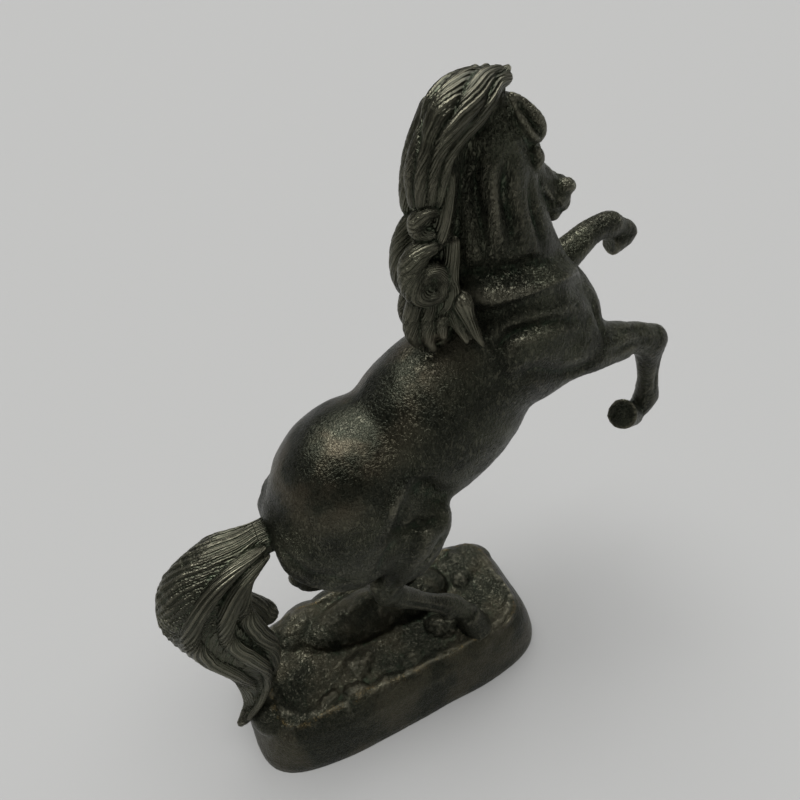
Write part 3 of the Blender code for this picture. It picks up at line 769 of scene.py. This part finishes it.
def ground_egg(centre, radii, yaw=0):
    egg(ground, Vector(centre) + Vector((BASE_ON_TABLE.x, BASE_ON_TABLE.y, 0)), radii, yaw=yaw)


ground_egg((-10, 14, 23), (52, 20, 22))
ground_egg((18, 14, 25), (34, 20, 20))
ground_egg((66, 20, 26), (24, 16, 10))
ground_egg((48, -27, 23.5), (21, 14, 12))
ground_egg((-84, -12, 24), (13, 16, 11))
for x, y, z, long, wide, high, yaw in (
        (-52, -27, 25, 11, 7, 10.5, 25), (-36, -29, 25, 11, 8, 11.5, -15), (-44, -34, 24, 9, 6, 9.5, 0),
        (-19, -32, 25, 12, 7, 10, 15), (-30, -16, 23, 18, 12, 12, 25), (-50, 26, 25, 22, 16, 15, 20),
        (-28, 33, 25, 18, 11, 14, 5), (-12, 34, 25, 18, 10, 11, 10), (60, 12, 25, 15, 12, 10, 30),
        (30, -16, 24, 16, 11, 12, -30), (2, -27, 24, 14, 10, 9.5, 10)):
    ground_egg((x, y, z), (long, wide, high), yaw)
base_skin = skin_over("ground", ground, 0.9, 7)
print("base skin:", len(base_skin.polygons), "faces")

# %% [markdown]
# The rock is roughened with folded noise, which gives creases and facets. The sides are left almost
# smooth, as a foundry's base is filed. The sole is then sawn flat at the ground and hollowed out.

# %% Roughen, saw and hollow the base
points, normals, edges = read_skin(base_skin)
flat = np.abs(points[:, :2] - np.array(BASE_ON_TABLE)[:2]) / (LENGTH / 2, WIDTH / 2) + 1e-6
share = (flat ** 4.2).sum(1) ** (1 / 4.2)
steep = share ** -3.2 * np.hypot(flat[:, 0] ** 3.2 * 2 / LENGTH, flat[:, 1] ** 3.2 * 2 / WIDTH)
inset = (1 - share) / steep
top = np.clip((inset - 13) / 3, 0, 1)
wander = np.array([noise.noise((x * 0.04, y * 0.04, 11)) for x, y, z in points])
rim = np.exp(-((inset - 16.5 - 4 * wander) / 1.5) ** 2) * (points[:, 2] > 26)
creased = np.array([abs(noise.noise((x * 0.07, y * 0.07, z * 0.07))) for x, y, z in points])
creased += 0.4 * np.array([abs(noise.noise((x * 0.19, y * 0.19, z * 0.19))) for x, y, z in points])
ripple = np.array([noise.noise((x * 0.45, y * 0.45, z * 0.45)) for x, y, z in points])
slow = np.array([noise.noise((x * 0.045, y * 0.045, 3 + z * 0.045)) for x, y, z in points])
ledge = rim * (2.2 * np.array([noise.noise((x * 0.05, y * 0.05, 7)) for x, y, z in points]) + 0.3)
rough_top = top * (1.7 * creased - 0.4 + 0.2 * ripple)
filed_side = (1 - top) * (0.1 * ripple + 0.6 * slow - 0.35)
points += normals * (rough_top + filed_side)[:, None]
points[:, 2] += ledge
half = np.array([LENGTH / 2 - 0.25, WIDTH / 2 - 0.25])
middle = np.array(BASE_ON_TABLE)[:2]
points[:, :2] = middle + np.clip(points[:, :2] - middle, -half, half)
write_skin(base_skin, points)
points, normals, edges = read_skin(base_skin)
fine, broad = relief(points, normals, edges, 6, 0.35), relief(points, normals, edges, 40, 1.6)
height = np.clip(0.6 * fine + 0.7 * broad, -1, 1)
add_attribute(base_skin, "relief", height)
add_attribute(base_skin, "hair", 0 * height)
add_attribute(base_skin, "strand", 0 * height)
add_attribute(base_skin, "back", 0 * height + 0.6)
# This mask of the ledge also places the painted ochre highlight.
add_attribute(base_skin, "rim", np.clip(rim * (0.6 + slow), 0, 1))
form = bmesh.new()
form.from_mesh(base_skin)
for face in form.faces:
    face.smooth = True
bmesh.ops.bisect_plane(form, geom=[*form.verts, *form.edges, *form.faces], plane_co=at(0, 0, 0),
                       plane_no=(0, 0, 1), clear_inner=True)
sole = bmesh.ops.holes_fill(form, edges=[e for e in form.edges if e.is_boundary], sides=0)["faces"]
for face in sole:
    face.smooth = False
form.to_mesh(base_skin)
form.free()
base = new_piece("base_bronze", base_skin, "base_casting")
hollow_form = bmesh.new()
HOLLOW = [(18, -5), (18, 2), (30, 17), (44, 19)]
stack_of_rings(hollow_form, [(LENGTH - less, WIDTH - less, z) for less, z in HOLLOW])
hollow_mesh = bpy.data.meshes.new("hollow")
hollow_form.to_mesh(hollow_mesh)
hollow_form.free()
hollow = bpy.data.objects.new("hollow", hollow_mesh)
bpy.context.scene.collection.objects.link(hollow)
cut = base.modifiers.new("hollow", "BOOLEAN")
cut.object = hollow
cut.operation = "DIFFERENCE"
hollowed = bpy.data.meshes.new_from_object(base.evaluated_get(bpy.context.evaluated_depsgraph_get()))
base.modifiers.clear()
base.data = hollowed
bpy.data.objects.remove(hollow, do_unlink=True)
castings["base_casting"] = base
print("base triangles about", 2 * len(hollowed.polygons))


# %% [markdown]
# ## Patina
# Old bronze under a dark brown-black patina: olive-brown metal, verdigris left in the hollows, ridges
# lighter, as rubbed wear and as a painted highlight, and a red-brown bloom over the back. It is one
# recipe. The base's ledge is painted ochre as a highlight where its raised lip catches the light.

# %% Node helpers and the bronze
def linear(r, g, b):
    """A screen colour, 0 to 255, as the linear colour that a shader wants."""
    return (*(((c / 255 + 0.055) / 1.055) ** 2.4 if c > 10 else c / 255 / 12.92 for c in (r, g, b)), 1)


class Tree:
    """A short way to write a shader's nodes."""

    def __init__(self, name):
        self.material = bpy.data.materials.new(name)
        self.material.use_nodes = True
        self.nodes, self.links = self.material.node_tree.nodes, self.material.node_tree.links
        self.shader = self.nodes["Principled BSDF"]

    def add(self, kind, settings=None, **inputs):
        node = self.nodes.new(kind)
        for key, value in (settings or {}).items():
            setattr(node, key, value)
        for key, value in inputs.items():
            self.put(node.inputs[key.replace("_", " ")], value)
        return node

    def put(self, socket, value):
        if isinstance(value, bpy.types.NodeSocket):
            self.links.new(value, socket)
        else:
            socket.default_value = value

    def math(self, operation, a, b=0.0, clamp=False):
        node = self.nodes.new("ShaderNodeMath")
        node.operation, node.use_clamp = operation, clamp
        self.put(node.inputs[0], a)
        self.put(node.inputs[1], b)
        return node.outputs[0]

    def mix(self, share, a, b):
        node = self.nodes.new("ShaderNodeMix")
        node.data_type = "RGBA"
        self.put(node.inputs[0], share)
        self.put(node.inputs[6], a)
        self.put(node.inputs[7], b)
        return node.outputs[2]

    def ramp(self, value, low, high):
        node = self.add("ShaderNodeMapRange", {"interpolation_type": "SMOOTHSTEP"},
                        Value=value, From_Min=low, From_Max=high)
        return node.outputs["Result"]

    def noise(self, place, scale, detail=3.0, rough=0.55):
        node = self.add("ShaderNodeTexNoise", Vector=place, Scale=scale, Detail=detail, Roughness=rough)
        return node.outputs["Fac"]


DARK = linear(42, 44, 36)
OLIVE = linear(71, 73, 60)
# Lighter grey-brown for ridges, coat marks and hair: rubbed metal, and a painted highlight where they catch
# the light.
WORN_AND_HIGHLIGHT = linear(158, 154, 134)
VERDIGRIS = linear(56, 76, 58)
RUST = linear(98, 72, 58)
# Ochre painted on the base's ledge as a highlight where the raised lip catches the light.
OCHRE_HIGHLIGHT = linear(176, 148, 92)


def bronze():
    tree = Tree("patinated bronze")
    place = tree.add("ShaderNodeTexCoord").outputs["Object"]
    relief_value, hair_value, back_value, rim_value, strand_value = (
        tree.add("ShaderNodeAttribute", {"attribute_name": name}).outputs["Fac"]
        for name in ("relief", "hair", "back", "rim", "strand"))
    cloud = tree.noise(place, 38, 4)
    patch = tree.noise(place, 170, 4, 0.65)
    speck = tree.noise(place, 900, 3, 0.7)
    along_coat = tree.add("ShaderNodeMapping", Vector=place, Rotation=(0.2, 0.75, 0.3), Scale=(1.0, 1.0, 0.4))
    marks = tree.add("ShaderNodeTexNoise", Vector=along_coat.outputs[0], Scale=850.0, Detail=2.0,
                     Roughness=0.6, Distortion=1.2).outputs["Fac"]
    coat = tree.math("ADD", tree.ramp(marks, 0.36, 0.62), tree.math("MULTIPLY", speck, 0.5))
    strands = tree.math("SINE", tree.math("ADD", strand_value, tree.math("MULTIPLY", patch, 3.0)))
    strands = tree.math("ADD", tree.math("MULTIPLY", strands, 0.28), tree.math("MULTIPLY", speck, 0.5))
    colour = tree.mix(tree.ramp(cloud, 0.36, 0.66), DARK, OLIVE)
    colour = tree.mix(tree.math("MULTIPLY", tree.ramp(patch, 0.45, 0.75), 0.45), colour, DARK)
    red = tree.math("MULTIPLY", tree.ramp(cloud, 0.42, 0.6), tree.math("MULTIPLY", back_value, 0.2))
    colour = tree.mix(red, colour, RUST)
    green_where = tree.math("MULTIPLY", tree.ramp(relief_value, -0.1, -0.8), tree.ramp(patch, 0.35, 0.65))
    colour = tree.mix(tree.math("MULTIPLY", green_where, 0.5), colour, VERDIGRIS)
    # Coat marks, hair and ridges are painted lighter: partly rubbed wear, partly a painted highlight.
    raised = tree.math("MULTIPLY", tree.ramp(marks, 0.5, 0.68), tree.math("SUBTRACT", 1.0, hair_value))
    on_hair_and_coat = tree.math("ADD", tree.math("MULTIPLY", raised, 0.12),
                                 tree.math("MULTIPLY", hair_value, 0.1))
    on_ridges = tree.math("MULTIPLY", tree.ramp(relief_value, 0.1, 0.9), 0.3)
    worn_and_highlight_where = tree.math("ADD", on_ridges, on_hair_and_coat)
    colour = tree.mix(worn_and_highlight_where, colour, WORN_AND_HIGHLIGHT)
    # Spots of ochre along the ledge: a painted highlight on the raised lip.
    scattered = tree.math("MULTIPLY", tree.ramp(speck, 0.4, 0.7), tree.ramp(patch, 0.4, 0.6))
    ochre_highlight_where = tree.math("MULTIPLY", rim_value, scattered)
    colour = tree.mix(tree.math("MULTIPLY", ochre_highlight_where, 0.8), colour, OCHRE_HIGHLIGHT)
    tree.put(tree.shader.inputs["Base Color"], colour)
    tree.put(tree.shader.inputs["Metallic"], 0.92)
    rough = tree.math("ADD", 0.24, tree.math("MULTIPLY", patch, 0.18))
    tree.put(tree.shader.inputs["Roughness"], rough)
    smoother = tree.math("SUBTRACT", 1.0, tree.math("MULTIPLY", back_value, 0.65))
    height = tree.add("ShaderNodeMix", {"data_type": "FLOAT"})
    tree.put(height.inputs[0], hair_value)
    tree.put(height.inputs[2], coat)
    tree.put(height.inputs[3], strands)
    bump = tree.add("ShaderNodeBump", Strength=smoother, Distance=0.0005, Height=height.outputs[0])
    tree.put(tree.shader.inputs["Normal"], bump.outputs["Normal"])
    return tree.material


def metal(name, colour, roughness):
    """Plain machined metal for the fastenings."""
    tree = Tree(name)
    tree.put(tree.shader.inputs["Base Color"], colour)
    tree.put(tree.shader.inputs["Metallic"], 1.0)
    tree.put(tree.shader.inputs["Roughness"], roughness)
    return tree.material


bronze_material = bronze()
for obj in castings.values():
    obj.data.materials.clear()
    obj.data.materials.append(bronze_material)
steel = metal("brushed steel", linear(150, 152, 156), 0.35)
brass = metal("yellow brass", linear(190, 160, 90), 0.32)
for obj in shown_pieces():
    if obj.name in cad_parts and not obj.name.endswith("_casting"):
        obj.data.materials.clear()
        obj.data.materials.append(brass if "nut" in obj.name or "washer" in obj.name else steel)
print("materials on", len(castings), "castings")

# %% [markdown]
# ## Room and light
# A plain pale sheet in a wide soft light from above, with a narrower soft light from the left that the
# back and the crest catch. The room is dark at eye level, so the near side of the body stays dark.

# %% Floor, lights and camera
sheet = bmesh.new()
bmesh.ops.create_grid(sheet, x_segments=1, y_segments=1, size=8.0)
floor_mesh = bpy.data.meshes.new("floor")
sheet.to_mesh(floor_mesh)
sheet.free()
floor = bpy.data.objects.new("floor", floor_mesh)
bpy.context.scene.collection.objects.link(floor)
paper = Tree("pale paper")
paper.put(paper.shader.inputs["Base Color"], linear(164, 164, 163))
paper.put(paper.shader.inputs["Roughness"], 0.9)
floor_mesh.materials.append(paper.material)


def soft_light(name, place, width, strength):
    """A far, wide light: width is how wide it looks, in degrees, and strength what it gives the floor."""
    light = bpy.data.lights.new(name, "SUN")
    light.angle, light.energy = math.radians(width), strength
    obj = bpy.data.objects.new(name, light)
    obj.location = place
    obj.rotation_euler = Vector(place).to_track_quat("Z", "Y").to_euler()
    bpy.context.scene.collection.objects.link(obj)


soft_light("key", (-0.5, 0.3, 1.35), 32, 1.45)
soft_light("overhead", (0.5, 0.75, 3.0), 74, 2.7)
# The wall is seen as pale as the sheet, but it lights nothing: only what is overhead does.
WALL_BRIGHTNESS = 0.72
world = bpy.data.worlds.new("room")
world.use_nodes = True
nodes, links = world.node_tree.nodes, world.node_tree.links
direction = nodes.new("ShaderNodeTexCoord")
split = nodes.new("ShaderNodeSeparateXYZ")
height = nodes.new("ShaderNodeMapRange")
height.interpolation_type = "SMOOTHSTEP"
for name, value in (("From Min", 0.72), ("From Max", 1.0), ("To Min", 0.03), ("To Max", 1.0)):
    height.inputs[name].default_value = value
links.new(direction.outputs["Generated"], split.inputs[0])
links.new(split.outputs["Z"], height.inputs["Value"])
seen = nodes.new("ShaderNodeLightPath")
wall = nodes.new("ShaderNodeMix")
wall.inputs[3].default_value = WALL_BRIGHTNESS
links.new(seen.outputs["Is Camera Ray"], wall.inputs[0])
links.new(height.outputs["Result"], wall.inputs[2])
links.new(wall.outputs[0], nodes["Background"].inputs["Strength"])
nodes["Background"].inputs["Color"].default_value = linear(216, 216, 215)
bpy.context.scene.world = world
bpy.context.scene.view_settings.view_transform = "Standard"

camera_data = bpy.data.cameras.new("camera")
camera_data.lens, camera_data.sensor_width = 27, 36
camera = bpy.data.objects.new("camera", camera_data)
camera.location = at(-77.7, -182.8, 397.7)
camera.rotation_euler = (at(120.55, 211.976, 0) - camera.location).to_track_quat("-Z", "Y").to_euler()
bpy.context.scene.collection.objects.link(camera)
bpy.context.scene.camera = camera
